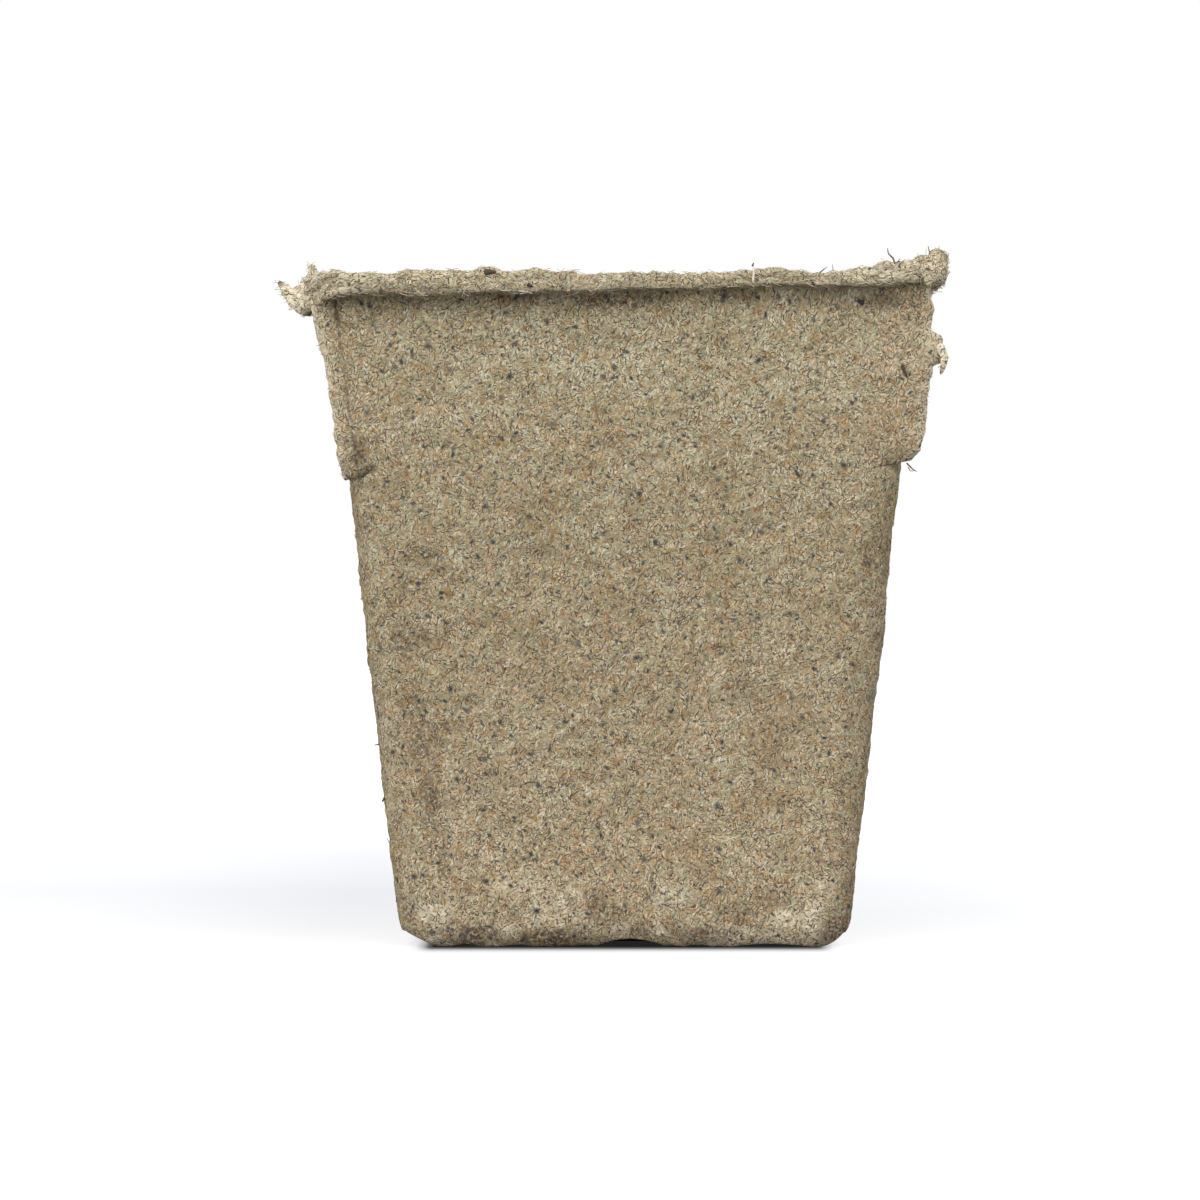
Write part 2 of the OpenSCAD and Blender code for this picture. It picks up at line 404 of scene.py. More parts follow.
def wall_stain_and_shade(points, facing):
    """Where the felt is darkened.

    That is dirt and painted shade on the front right corner, stains at the foot, stains and painted shade
    below the flange, painted shade in the left crease, dirt and painted shade in the pits, and the front's
    spots.
    """
    z = points[..., 2]
    # Dirt and painted shade darken the front right corner, which gets less light
    corner = held(-2 * facing[..., 0] * facing[..., 1]) * held(facing[..., 0] * 9)
    corner = 0.15 * corner * (0.75 + 0.25 * lumps(points, 5, 41))
    low = fading(z, *FOOT_STAIN) * held(0.1 + lumps(points, (7, 7, 4), 42))
    # Stains and painted shade of the flange darken the wall right under it
    high = fading(z - WALL_TOP, *RIM_STAIN_AND_SHADE) * held(0.05 + 0.4 * lumps(points, 3, 47))
    patches = held(0.1 + lumps(points, (4, 4, 6), 49))
    # Painted shade on a crease near the left corners, which the mesh rounds smoothly
    crease_shade = 0.35 * along_left(points, CREASE_IN, CREASE_REACH) * patches
    # Dirt and painted shade in the pits of the felt's relief
    pits = 0.3 * held(-lumps(points, PIT_SIZE, PIT_SEED))
    return held(corner + 0.4 * low + high + crease_shade + pits + near_spots(points, DARK_SPOTS))


def wall_pale(points):
    """Where the felt is paler: patches at the foot, a painted highlight on the left corners' ridge, and the
    front's spots.
    """
    band = fading(points[..., 2], *FOOT_PALE)
    low = 0.55 * band * held(0.1 + 1.2 * lumps(points, (9, 9, 6), 43))
    patches = held(0.8 + 0.6 * lumps(points, (3, 3, 5), 50))
    # A painted highlight on a ridge up the left corners, which the mesh rounds smoothly
    ridge_highlight = 0.19 * along_left(points, RIDGE_IN, RIDGE_REACH) * patches
    return np.maximum(np.maximum(low, ridge_highlight), near_spots(points, PALE_SPOTS))


def wall_outside(side, run, z):
    """A wall's outside: points, their place on the felt, where stains and painted shade darken it, and where
    it is paler.
    """
    run, z = run[:, None], z[None, :]
    rise = fading(z - WALL_TOP, -FLARE_R, 0)
    out = FLARE_R * (1 - np.sqrt(1 - rise ** 2))
    place, facing, length = outline(side, run, half_at(z) + out, CORNER_R + out)
    root = rim_root(side + (run + 1) / 2) * fading(z - WALL_TOP, -WALL_RISE, 0) ** 2
    base = in_space(place, z + root)
    normal = tilted(facing, -np.arctan(TAPER) - np.arcsin(rise) * FLARE_TURN)
    points = base + normal * felt_relief(base)[..., None]
    felt_map = np.stack(np.broadcast_arrays(length, z), -1)
    return points, felt_map, wall_stain_and_shade(base, facing), wall_pale(base)


def wall_inside(side, run, z):
    """A wall's inside, which rounds into the floor: points and their place on the felt."""
    run, z = run[:, None], z[None, :]
    drop = held((FLOOR_T + FILLET_R - z) / FILLET_R)
    turned_in = FILLET_R * (1 - np.sqrt(1 - drop ** 2))
    place, facing, length = outline(side, run, half_at(z) - WALL_T - turned_in, CORNER_R - WALL_T)
    base = in_space(place, z)
    points = base + tilted(-facing, np.arcsin(drop)) * INSIDE_RELIEF * felt_relief(base)[..., None]
    up = np.where(drop > 0, FLOOR_T + FILLET_R * (1 - np.arcsin(drop)), z)
    return points, np.stack(np.broadcast_arrays(length, up + INSIDE_MAP), -1)


def make_wall(side, name, material):
    felt = Felt()
    bend = np.linspace(0, np.pi / 2, BEND_ROWS)
    z_out = np.concatenate([np.linspace(FLOOR_T, WALL_TOP - FLARE_R, OUTSIDE_ROWS),
                            WALL_TOP - FLARE_R * (1 - np.sin(bend[1:]))])
    z_in = np.concatenate([FLOOR_T + FILLET_R * (1 - np.cos(bend[:-1])),
                           np.linspace(FLOOR_T + FILLET_R, WALL_TOP, INSIDE_ROWS)])
    points, felt_map, stain, pale = wall_outside(side, OUTSIDE_RUNS, z_out)
    outside = felt.add(points, felt_map, stain=stain, pale=pale, fuzz=1.0)
    points, felt_map = wall_inside(side, INSIDE_RUNS, z_in)
    inside = felt.add(points, felt_map, fuzz=INSIDE_FUZZ)
    felt.grid(outside)
    felt.grid(inside)
    for edge in (np.s_[:, 0], np.s_[:, -1], np.s_[0, :], np.s_[-1, :]):
        felt.strip(outside[edge], inside[edge])
    return felt.make(name, material)


# The flange. Scraps hang from it where a neighbour was torn off: a path, the widths along it, how thick the
# scrap is for its width, the stain at its tip and how torn it looks
RIM_SCRAPS = {
    # A flap, its hanging end and a tuft
    LEFT: (([(-38.6, -35.8, 82.1), (-40.1, -35.2, 81.4), (-41.1, -34.8, 81.6), (-42.0, -34.3, 82.2),
             (-42.6, -34, 82.9), (-43.2, -33.8, 83.5)], (4.2, 4.2, 3.1, 2.0, 1.2, 0.7), 0.3, 0.9, 1.45),
           ([(-39.6, -35.4, 80.6), (-40.1, -35.2, 80.1), (-40.2, -35.1, 79.6)],
            (1.8, 1.5, 0.8), 0.6, 1.0, 1.45),
           ([(-38.4, -36, 83.2), (-38.8, -36.2, 84.4), (-38.9, -36.2, 85.5)],
            (3.0, 1.4, 0.8), 0.5, 0.3, 1.2)),
    # The crest and the end of the curl
    RIGHT: (([(37.6, -35.5, 84), (38.6, -35, 86), (39.2, -34.6, 87.2)], (3.4, 2.2, 1.2), 0.8, 0.2, 0.8),
            ([(37.3, -38.8, 82.9), (37.9, -38.6, 84.1), (38.5, -38.3, 85.6), (38.9, -37.9, 87.0)],
             (1.2, 3.0, 2.8, 1.4), 0.35, 0.2, 0.8))}
SCRAP_SEED = 51
SCRAP_FUZZ = 1.3


def rim_skin(side, run):
    """The flange's outside, its section going from under the flange round its edge to the inside of the pot.

    Gives points, their place on the felt, how torn and how pale it is, and the direction along the edge.
    """
    p = (side + (run + 1) / 2)[:, None]
    around = p * RIM_SIDE
    tear = at_place(RIM_TEAR, p)
    ragged = (0.05 + 0.45 * tear) * lumps_along(around, 4.3, 11)
    ragged = ragged + (0.05 + 0.3 * tear) * lumps_along(around, 1.6, 12)
    reach = at_place(RIM_OUT, p) + ragged
    top = at_place(RIM_TOP, p) + 0.25 * lumps_along(around, 2.2, 13) + 0.2 * lumps_along(around, 0.9, 15)
    low, root = rim_low(p), rim_root(p)
    # Five stretches of the section: underside, edge, top, the rounding into the mouth, and the inner face
    under = np.linspace(0, 1, 14, endpoint=False)
    edge = np.linspace(-np.pi / 2, np.pi / 2, 36, endpoint=False)
    over = np.linspace(0, 1, 26, endpoint=False)
    lip = np.linspace(0, np.pi / 2, 6, endpoint=False)
    inner = np.linspace(0, 1, 9)
    middle, thick = (RIM_T + top + low) / 2, RIM_T + top - low
    # The edge's section is flat in front, crisp below and round above
    bulge = np.cos(edge) ** np.where(edge < 0, 0.22, 0.6)
    lean = LIP_LEAN * (1 - np.sin(edge)) / 2
    out = [FLARE_R + (reach - LIP_R - LIP_LEAN - FLARE_R) * under, reach - LIP_R - lean + LIP_R * bulge,
           reach - LIP_R + (2 * LIP_R - WALL_T - reach) * over,
           -WALL_T + LIP_R * (1 - np.sin(lip)) + 0 * p, -WALL_T + 0 * inner + 0 * p]
    share = held(out[2] / (reach - LIP_R)) ** LIP_CURVE
    z = [root + (low - root) * under ** LIP_CURVE, middle + thick / 2 * np.sin(edge), RIM_T + top * share,
         RIM_T - LIP_R * (1 - np.cos(lip)) + 0 * p, (RIM_T - LIP_R) * (1 - inner) + 0 * p]
    tilt = [-np.pi / 2 + 0 * under, np.where(edge < 0, 0.15, 1) * edge, np.pi / 2 + 0 * over,
            np.pi / 2 + lip, np.pi + 0 * inner]
    torn = [0.1 * under, 0.2 + 0.8 * np.cos(edge) ** 0.5, 0.3 * (1 - over) ** 2, 0 * lip, 0 * inner]
    out, z = np.concatenate(out, 1), np.concatenate(z, 1)
    tilt, torn = np.concatenate(tilt), np.concatenate(torn) * (0.2 + 0.8 * tear)
    steps = np.hypot(np.diff(out, axis=1), np.diff(z, axis=1))
    across = np.concatenate([np.zeros_like(p), np.cumsum(steps, 1)], 1)
    place, facing, _ = outline(side, run[:, None], MOUTH_HALF + out, CORNER_R + out)
    length = outline(side, run[:, None], MOUTH_HALF + 0 * out, CORNER_R)[2]
    base = in_space(place, WALL_TOP + z)
    # Torn felt splits into layers along its edge
    spots = np.stack([length, across + 0.5 * lumps_along(length, 5, 20), 0 * length], -1)
    layers = layered(spots, ((0.3, (6, 0.9, 1), 21), (0.15, (1.8, 0.5, 1), 22)))
    points = base + tilted(facing, tilt) * (felt_relief(base) + torn * layers)[..., None]
    grain = in_space(np.stack([-facing[..., 1], facing[..., 0]], -1), 0)
    pale = at_place(RIM_PALE, p) * held(0.7 + lumps(base, 1.8, 48))
    return points, np.stack([length, WALL_TOP + across], -1), torn, pale, grain


def make_rim(side, name, material):
    felt = Felt()
    points, felt_map, torn, pale, grain = rim_skin(side, OUTSIDE_RUNS)
    fuzz = 0.7 + 1.4 * torn + pale
    felt.tube(felt.add(points, felt_map, torn=torn, pale=pale, fuzz=fuzz, grain=grain))
    for number, (path, widths, thickness, tip, torn) in enumerate(RIM_SCRAPS.get(side, ())):
        shred(felt, path, widths, thickness, SCRAP_SEED + number, tip, torn=torn, fuzz=SCRAP_FUZZ)
    return felt.make(name, material)


# The floor: rows round its bottom edge, and rings from there to the drain hole
EDGE_ROWS, FACE_RINGS = 14, 60


def gap_lift(points):
    """How far the drain notches, gaps and worn edges lift the underside."""
    lift = np.zeros(points.shape[:-1])
    for side in SIDES.values():
        local = turned(-side % 4, points[..., 0], points[..., 1])
        fade = held((GAP_L - local[..., 1] - half_at(0)) / GAP_FADE)
        for place, width, height in GAPS:
            arch = height * (1 - (2 * (local[..., 0] - place) / width) ** 2)
            lift = np.maximum(lift, arch * fade)
        if side in WORN:
            height, width, hollow = WORN[side]
            near_front = fading(-points[..., 1], WORN_FROM, WORN_FULL)
            inside = np.clip(local[..., 1] + half_at(0), 0, width)
            lift = np.maximum(lift, height * near_front * (1 - inside / width) ** hollow)
    return lift


def floor_edge(run, turn):
    """The rounded bottom edge, from the foot of the walls to the underside, all the way round."""
    rounds = []
    for side in SIDES.values():
        z = FLOOR_T * (1 - np.cos(turn))
        inset = FOOT_IN * (1 - np.sin(turn))
        place, facing, length = outline(side, run[:-1, None], half_at(z) - inset, CORNER_R - inset)
        base = in_space(place, z)
        normal = tilted(facing, turn - np.pi / 2 - np.arctan(TAPER) * np.sin(turn))
        points = base + normal * felt_relief(base)[..., None]
        felt_map = np.stack(np.broadcast_arrays(length, FLOOR_T * (1 + turn - np.pi / 2)), -1)
        rounds.append((points, felt_map, wall_stain_and_shade(base, facing), wall_pale(base)))
    return [np.concatenate(parts) for parts in zip(*rounds)]


def floor_face(half, radius, run, shares, height, relief):
    """A flat face of the floor, from a rounded square in to the drain hole, all the way round."""
    square = np.concatenate([outline(side, run[:-1], half, radius)[0] for side in SIDES.values()])
    angle = np.arctan2(square[:, 1], square[:, 0])
    hole = DRAIN_R * np.stack([np.cos(angle), np.sin(angle)], -1)
    shares = shares[None, :, None]
    place = square[:, None] * (1 - shares) + hole[:, None] * shares
    base = in_space(place, height)
    points = base + relief * felt_relief(base)[..., None] * np.array([0, 0, 1])
    return points, place


def make_floor(name, material):
    felt = Felt()
    points, felt_map, stain, pale = floor_edge(OUTSIDE_RUNS, np.linspace(np.pi / 2, 0, EDGE_ROWS))
    points[:, 1:, 2] = np.maximum(points[..., 2], gap_lift(points))[:, 1:]
    # No loose fibres grow within a millimetre of the ground
    fuzz = held(points[..., 2] - 1)
    edge = felt.add(points, felt_map, stain=stain, pale=pale, fuzz=fuzz)
    shares = np.linspace(0, 1, FACE_RINGS)
    points, felt_map = floor_face(half_at(0) - FOOT_IN, CORNER_R - FOOT_IN, UNDER_RUNS, shares[1:], 0, 1)
    points[..., 2] = np.maximum(points[..., 2], gap_lift(points))
    under = felt.add(points, felt_map + UNDER_MAP)
    top_half = half_at(FLOOR_T) - WALL_T - FILLET_R
    points, felt_map = floor_face(top_half, CORNER_R - WALL_T, INSIDE_RUNS, shares, FLOOR_T, INSIDE_RELIEF)
    top = felt.add(points, felt_map + TOP_MAP, fuzz=INSIDE_FUZZ)
    for numbers in (edge, under, top):
        felt.grid(closed(numbers))
    felt.strip(closed(edge[:, -1]), closed(under[:, 0]))
    felt.strip(closed(edge[:, 0]), closed(top[:, 0]))
    felt.strip(closed(under[:, -1]), closed(top[:, -1]))
    return felt.make(name, material)


# The torn webs. How far each stands out past the side of the body, by the drop from the flange
WEB_OUT = {-1: ((0, 2.3), (3, 2.1), (8, 1.25), (16, 0.95), (20, 0.9), (22, 0.6), (23, 0.2)),
           1: ((0, 1.0), (1.2, 1.65), (1.8, 1.8), (3.1, 1.55), (4.1, 1.45), (4.4, 2.0), (4.8, 2.9),
               (5.4, 3.3), (6.7, 3.55), (7.6, 3.6), (8.2, 3.3), (8.6, 2.3), (10, 2.1), (16, 2.15),
               (19.1, 2.0), (20.8, 0.3))}
# How far below the flange each ends, at the body and at its torn edge, and how deep the crease beside it is,
# which also sets how dark the crease's painted shade is
WEB_DROP = {-1: (WEB_H + 0.4, WEB_H + 1.8), 1: (WEB_H + 0.5, WEB_H - 0.7)}
WEB_CREASE = {-1: 0.12, 1: 0.0}
CREASE_HALF = 0.2
# How far a web goes up into the flange, and over what height its foot runs out into the body
WEB_LAP = 0.4
WEB_FADE = 2.6
# How much a web thins towards its torn edge, and how far inside the body's side the tear begins to show
WEB_THIN = 0.55
TEAR_IN = 0.6
# A pale flap stands out of the front right web: its drop and reach, and a scrap that hangs from it
FLAP_DROP, FLAP_REACH = 6.5, 1.8
FLAP_PALE = 1.4
FLAP_SCRAP = ((39, -36.2, 75.6), (39.7, -36.4, 74), (39.5, -36.5, 72.9), (39.2, -36.5, 71.8))
FLAP_WIDTHS = (1.2, 0.9, 0.7, 0.4)
FLAP_SEED = 55
WEB_SEED = 31
WEB_COLUMNS, WEB_ROWS = 40, 130


def make_web(side, end, name, material):
    felt = Felt()
    share = np.concatenate([np.linspace(0, 1, WEB_COLUMNS), np.linspace(1, 0, WEB_COLUMNS)])
    behind = np.repeat([0.0, 1.0], WEB_COLUMNS)
    at_body, at_edge = WEB_DROP[end]
    foot = WALL_TOP - at_body - (at_edge - at_body) * share
    top = WALL_TOP + WEB_LAP + rim_root(np.array([side + (end + 1) / 2]))
    z = foot + (top - foot) * np.linspace(0, 1, WEB_ROWS)[:, None]
    drop, half = WALL_TOP - z, half_at(z)
    seed = WEB_SEED + 2 * side + (end > 0)
    rough = 0.14 * lumps_along(z, 2.3, seed) + 0.12 * lumps_along(z, 0.9, seed + 20)
    out = np.interp(drop, *zip(*WEB_OUT[end]))
    reach = half + out + rough
    start = half - CORNER_R
    x = end * (start + (reach - start) * share)
    from_crease = end * x - half + 0.8 + 0.5 * drop / WEB_H
    groove = WEB_CREASE[end] * np.exp(-((from_crease / CREASE_HALF) ** 2))
    thin = WEB_THIN * held((share - 0.8) / 0.2) ** 2
    # Where the body's corner rounds away from the web, the foot follows it
    corner = CORNER_R - np.sqrt(np.clip(CORNER_R ** 2 - np.clip(end * x - start, 0, None) ** 2, 0, None))
    fade = held(1 - (z - foot) / WEB_FADE) ** 2
    sunk = np.minimum(corner, WEB_T / 2) * fade
    y = -half + np.where(behind, WEB_T - thin, thin * 0.7 + groove + sunk)
    base = in_space(turned(side, x, y), z)
    normal = tilted(turned(side, 0 * x, np.where(behind, 1.0, -1.0)), 0)
    points = base + normal * felt_relief(base)[..., None]
    torn = held((end * x - half + TEAR_IN) / (out + TEAR_IN))
    # The crease beside the web gets painted shade; the torn part and the front's spots are stained
    stain = 3 * groove + 0.25 * torn * held(lumps(base, 3, 44)) + near_spots(base, DARK_SPOTS)
    has_flap = side == FRONT and end > 0
    flap = np.exp(-((drop - FLAP_DROP) / FLAP_REACH) ** 2) * has_flap
    steps = np.hypot(np.diff(x, axis=1, prepend=x[:, :1]), np.diff(y, axis=1, prepend=y[:, :1]))
    across = x[:, :1] + end * np.cumsum(steps, 1)
    # The web's fibres lean as the body's do, though its material draws them level
    lean_x, lean_z = np.cos(FELT_LEAN), np.sin(FELT_LEAN)
    felt_map = np.stack([across * lean_x + z * lean_z, z * lean_x - across * lean_z], -1)
    felt.tube(felt.add(points, felt_map, torn=torn ** 2, pale=FLAP_PALE * flap * torn, fuzz=0.4 + 0.6 * torn,
                       stain=held(stain)))
    if has_flap:
        shred(felt, FLAP_SCRAP, FLAP_WIDTHS, 0.5, FLAP_SEED, torn=1.25, fuzz=1.5)
    return felt.make(name, material)


# Splinters and hairs that stand out on the front: what carries them, points across and up, width and tone
SPLINTERS = (
    ("wall", ((-25.5, 80.1), (-25.6, 79.1), (-25.1, 77.9)), 0.22, 0.0),
    ("web", ((-36.2, 80.6), (-35.1, 77.2)), 0.2, 0.5),
    ("web", ((-35.1, 78.4), (-33.1, 77.6)), 0.2, 0.8),
    ("wall", ((29.3, 81.0), (29.5, 80.4)), 0.75, 0.0),
    ("wall", ((16.4, 81.5), (16.7, 81.1)), 0.6, 0.1),
    ("wall", ((-20.6, 81.2), (-19.9, 81.0)), 0.5, 0.3),
    ("wall", ((34.4, 73.1), (35.1, 71.4)), 0.5, 0.2),
    ("foot", ((-34.6, 59.2), (-33.4, 58.9)), 0.5, 0.5),
    ("foot", ((-34.3, 58.9), (-33.9, 58.5)), 0.3, 0.4),
    ("foot", ((35.1, 60.9), (35.9, 60.1), (36.4, 59.8)), 0.22, 0.5),
    ("foot", ((35.3, 60.4), (35.6, 59.9), (36.1, 59.9)), 0.16, 0.6),
    ("rim", ((33.5, 84.8), (33.1, 86.0), (32.5, 86.6), (32.4, 87.3)), 0.26, 0.4),
    ("rim", ((33.4, 85.2), (34.0, 86.0)), 0.2, 0.4),
    ("rim", ((24.0, 84.2), (25.0, 85.0)), 0.16, 0.3),
    ("rim", ((25.7, 84.4), (25.6, 85.3)), 0.12, 0.4),
    ("rim", ((-17.4, 84.3), (-16.6, 84.4), (-15.9, 84.3)), 1.0, 0.25),
    ("rim", ((-12.1, 82.8), (-11.4, 82.5)), 0.5, 0.1),
    ("rim", ((15.8, 83.1), (15.9, 84.2), (15.8, 85.2)), 0.36, 1.0),
    ("rim", ((15.7, 85.0), (15.9, 85.5)), 0.28, 0.2),
    ("curl", ((37.9, 86.2), (37.8, 86.9), (37.6, 87.8)), 0.2, 0.2),
    ("curl", ((37.8, 87.0), (38.6, 87.4)), 0.16, 0.3),
    ("edge", ((-30.2, 25.4), (-30.9, 25.6), (-31.6, 25.5)), 0.3, 0.6),
    ("edge", ((-29.6, 18.9), (-30.3, 18.8), (-30.6, 18.3)), 0.5, 0.4),
    ("edge", ((-29.0, 12.4), (-29.8, 13.2), (-30.0, 13.8)), 0.14, 0.7))
# How far each carrier lies in front of the body; the foot is a web's, and the edge is the left corner
CARRIERS = {"wall": 0.05, "web": 0.2, "foot": -0.6, "rim": 2.9, "curl": 0.0, "edge": -4.0}
SPLINTER_SEED = 61
SPLINTER_TIP = 0.35


def make_splinters(name, material):
    felt = Felt()
    for number, (carrier, path, width, tone) in enumerate(SPLINTERS):
        points = [(x, -half_at(min(z, WALL_TOP)) - CARRIERS[carrier], z) for x, z in path]
        widths = np.linspace(width, SPLINTER_TIP * width, len(path))
        shred(felt, points, widths, 0.8, SPLINTER_SEED + number, tone=tone)
    return felt.make(name, material)


# Materials
MATH, VECTOR, RANGE = "ShaderNodeMath", "ShaderNodeVectorMath", "ShaderNodeMapRange"
NOISE, RAMP, MIX = "ShaderNodeTexNoise", "ShaderNodeValToRGB", "ShaderNodeMix"
# A mix's sockets for colours, and its settings to lay one colour over another or to tint it
FACTOR, BELOW, ABOVE = 0, 6, 7
OVER = {"data_type": "RGBA", "blend_type": "MIX"}
TINT = {"data_type": "RGBA", "blend_type": "MULTIPLY"}


def linear(code):
    """A colour from its sRGB hex value."""
    channels = [int(code[i:i + 2], 16) / 255 for i in (0, 2, 4)]
    return [c / 12.92 if c <= 0.04045 else ((c + 0.055) / 1.055) ** 2.4 for c in channels] + [1]


def node(tree, kind, inputs=(), stops=(), **settings):
    """Adds a node with its settings, and fills its inputs from values, outputs or nodes' first outputs.

    Inputs go by socket or in their order. Stops are a ramp's places, each with a hex colour or a grey value.
    """
    made = tree.nodes.new(kind)
    for name, value in settings.items():
        setattr(made, name, value)
    for key, value in inputs.items() if isinstance(inputs, dict) else enumerate(inputs):
        if isinstance(value, bpy.types.Node):
            value = next(output for output in value.outputs if output.enabled)
        if isinstance(value, bpy.types.NodeSocket):
            tree.links.new(value, made.inputs[key])
        else:
            made.inputs[key].default_value = value
    elements = made.color_ramp.elements if stops else ()
    while len(elements) < len(stops):
        elements.new(1.0)
    for element, (position, code) in zip(elements, stops):
        element.position = position
        element.color = linear(code) if isinstance(code, str) else (code, code, code, 1)
    return made


def bare_tree(owner):
    """Empties the node tree of a material or a world, and returns what adds a node to it."""
    owner.use_nodes = True
    owner.node_tree.nodes.clear()
    return partial(node, owner.node_tree)


def group_tree(name, kind, inputs, outputs):
    """A node group with named sockets: what adds a node to it, what goes into it, and the group itself."""
    tree = bpy.data.node_groups.new(name, kind)
    for direction, names in (("INPUT", inputs), ("OUTPUT", outputs)):
        for socket, socket_kind in names.items():
            tree.interface.new_socket(socket, in_out=direction, socket_type="NodeSocket" + socket_kind)
    return partial(node, tree), node(tree, "NodeGroupInput").outputs, tree


def scattered_marks():
    """Node group: short marks scattered on the felt, one to a cell, each with its own size, bend and tone.

    Cells are stretched along the direction Turn, and a mark lies within half of Spread to either side of it.
    """
    add, given, tree = group_tree(
        "scattered_marks", "ShaderNodeTree",
        {"Map": "Vector", "Shift": "Vector", "Pitch": "Float", "Stretch": "Float", "Turn": "Float",
         "Spread": "Float", "Length": "Float", "Width": "Float", "Share": "Float", "Core": "Float"},
        {"Mask": "Float", "Tone": "Float", "Tint": "Float", "Height": "Float"})
    level = add("ShaderNodeVectorRotate", {"Vector": given["Map"], "Angle": given["Turn"]},
                rotation_type="Z_AXIS", invert=True)
    cell_length = add(MATH, (given["Pitch"], given["Stretch"]), operation="MULTIPLY")
    cell_size = add("ShaderNodeCombineXYZ", (cell_length, given["Pitch"], 1.0))
    cells = add(VECTOR, (level, cell_size), operation="DIVIDE")
    cells = add(VECTOR, (cells, given["Shift"]), operation="ADD")
    cell = add("ShaderNodeTexVoronoi", {"Vector": cells, "Scale": 1.0},
               voronoi_dimensions="2D", feature="F1")
    chance = add("ShaderNodeSeparateColor", (cell.outputs["Color"],)).outputs
    offset = add(VECTOR, (cells, cell.outputs["Position"]), operation="SUBTRACT")
    offset = add(VECTOR, (offset, cell_size), operation="MULTIPLY")
    # Each mark has its own turn, its own bend to either side and its own size
    angle = add(MATH, (chance[0], -0.5), operation="ADD")
    angle = add(MATH, (angle, given["Spread"]), operation="MULTIPLY")
    local = add("ShaderNodeVectorRotate", {"Vector": offset, "Angle": angle}, rotation_type="Z_AXIS")
    along, aside, _ = add("ShaderNodeSeparateXYZ", (local,)).outputs
    bend = add(MATH, (along, along), operation="MULTIPLY")
    curl = add(MATH, (chance[1], 0.5, -0.25), operation="MULTIPLY_ADD")
    across = add(MATH, (bend, curl, aside), operation="MULTIPLY_ADD")
    half = add(MATH, (chance[1], 0.4, 0.3), operation="MULTIPLY_ADD")
    masks = []
    for distance, size in ((along, "Length"), (across, "Width")):
        away = add(MATH, (distance,), operation="ABSOLUTE")
        edge = add(MATH, (given[size], half), operation="MULTIPLY")
        core = add(MATH, (edge, given["Core"]), operation="MULTIPLY")
        masks.append(add(RANGE, {"Value": away, "From Min": edge, "From Max": core},
                         interpolation_type="SMOOTHSTEP"))
    present = add(MATH, (chance[2], given["Share"]), operation="LESS_THAN")
    mask = add(MATH, masks, operation="MULTIPLY")
    mask = add(MATH, (mask, present), operation="MULTIPLY")
    tone = add(MATH, (chance[2], given["Share"]), operation="DIVIDE")
    stand = add(MATH, (chance[1], 0.6, 0.4), operation="MULTIPLY_ADD")
    height = add(MATH, (mask, stand), operation="MULTIPLY")
    add("NodeGroupOutput", {"Mask": mask, "Tone": tone, "Tint": chance[0], "Height": height})
    return tree


MARKS_GROUP = scattered_marks()
# Layers of fibre, lowest first: pitch, length and width in millimetres. A real fibre is half as wide; it is
# drawn wider here because a finer one would not show at the size of the picture
FIBRE_LAYERS = ((0.40, 1.1, 0.19), (0.46, 1.2, 0.18), (0.42, 1.0, 0.17), (0.50, 1.1, 0.18))
FIBRE_STRETCH = 1.6
FIBRE_CORE = 0.3
# Most fibres lean this way from the level
FELT_LEAN = 1.05
FIBRE_BASE = "b8ad93"
FIBRE_TONES = ((0.0, "9e9379"), (0.3, "c4bba0"), (0.6, "dad3be"), (1.0, "f2ede1"))
FIBRE_TINTS = ((0.0, "fff1e0"), (0.5, "ffffff"), (1.0, "e9f1e7"))
# How fibres and specks stray from a straight layer: waves to a millimetre, and reach in millimetres
FIBRE_WANDER, SPECK_WANDER = (0.7, 0.3), (2.2, 0.18)
# Patches of tone: waves to a millimetre, finer waves within them, and tints
PATCHES = ((0.13, 4.0, ((0.3, "e3dbcd"), (0.5, "f5f2ec"), (0.7, "ffffff"))),
           (0.75, 3.0, ((0.33, "edd7bc"), (0.5, "ffffff"), (0.67, "e5ebe3"))))
# The body's tone by height paints light and shade: lighter at its foot and below its top, a little darker
# halfway up, and painted shade right under the flange from the last stop, which also tints the inside and
# the underside.
# It is greener towards its top, and its torn edges darken only slightly
BODY_RISE = ((0.1, "fcfcfd"), (0.35, "eff0f1"), (0.62, "eaeceb"), (0.9, "f5fbfe"), (1.0, "eaf0f0"))
EDGE_RISE = ((0.1, "f4f4f4"), (0.8, "f0f3f3"), (1.0, "eaf0f0"))
# Pale felt, and the tint that stains and painted shade lay on the felt
PALE_FELT, STAIN_AND_SHADE_FELT = "e8e0ca", "87797b"
# Gaps and dark fibres, brown and then grey: pitch, length and width in millimetres, the share of places that
# have one, how much of it is core rather than soft edge, and its colours
DARK_FIBRES = (
    (0.35, 0.90, 0.15, 0.90, 0.5, ((0.0, "583f27"), (0.5, "876a45"), (1.0, "a9906b"))),
    (0.41, 0.75, 0.15, 0.65, 0.5, ((0.0, "4a4749"), (0.5, "716c67"), (1.0, "958d81"))))
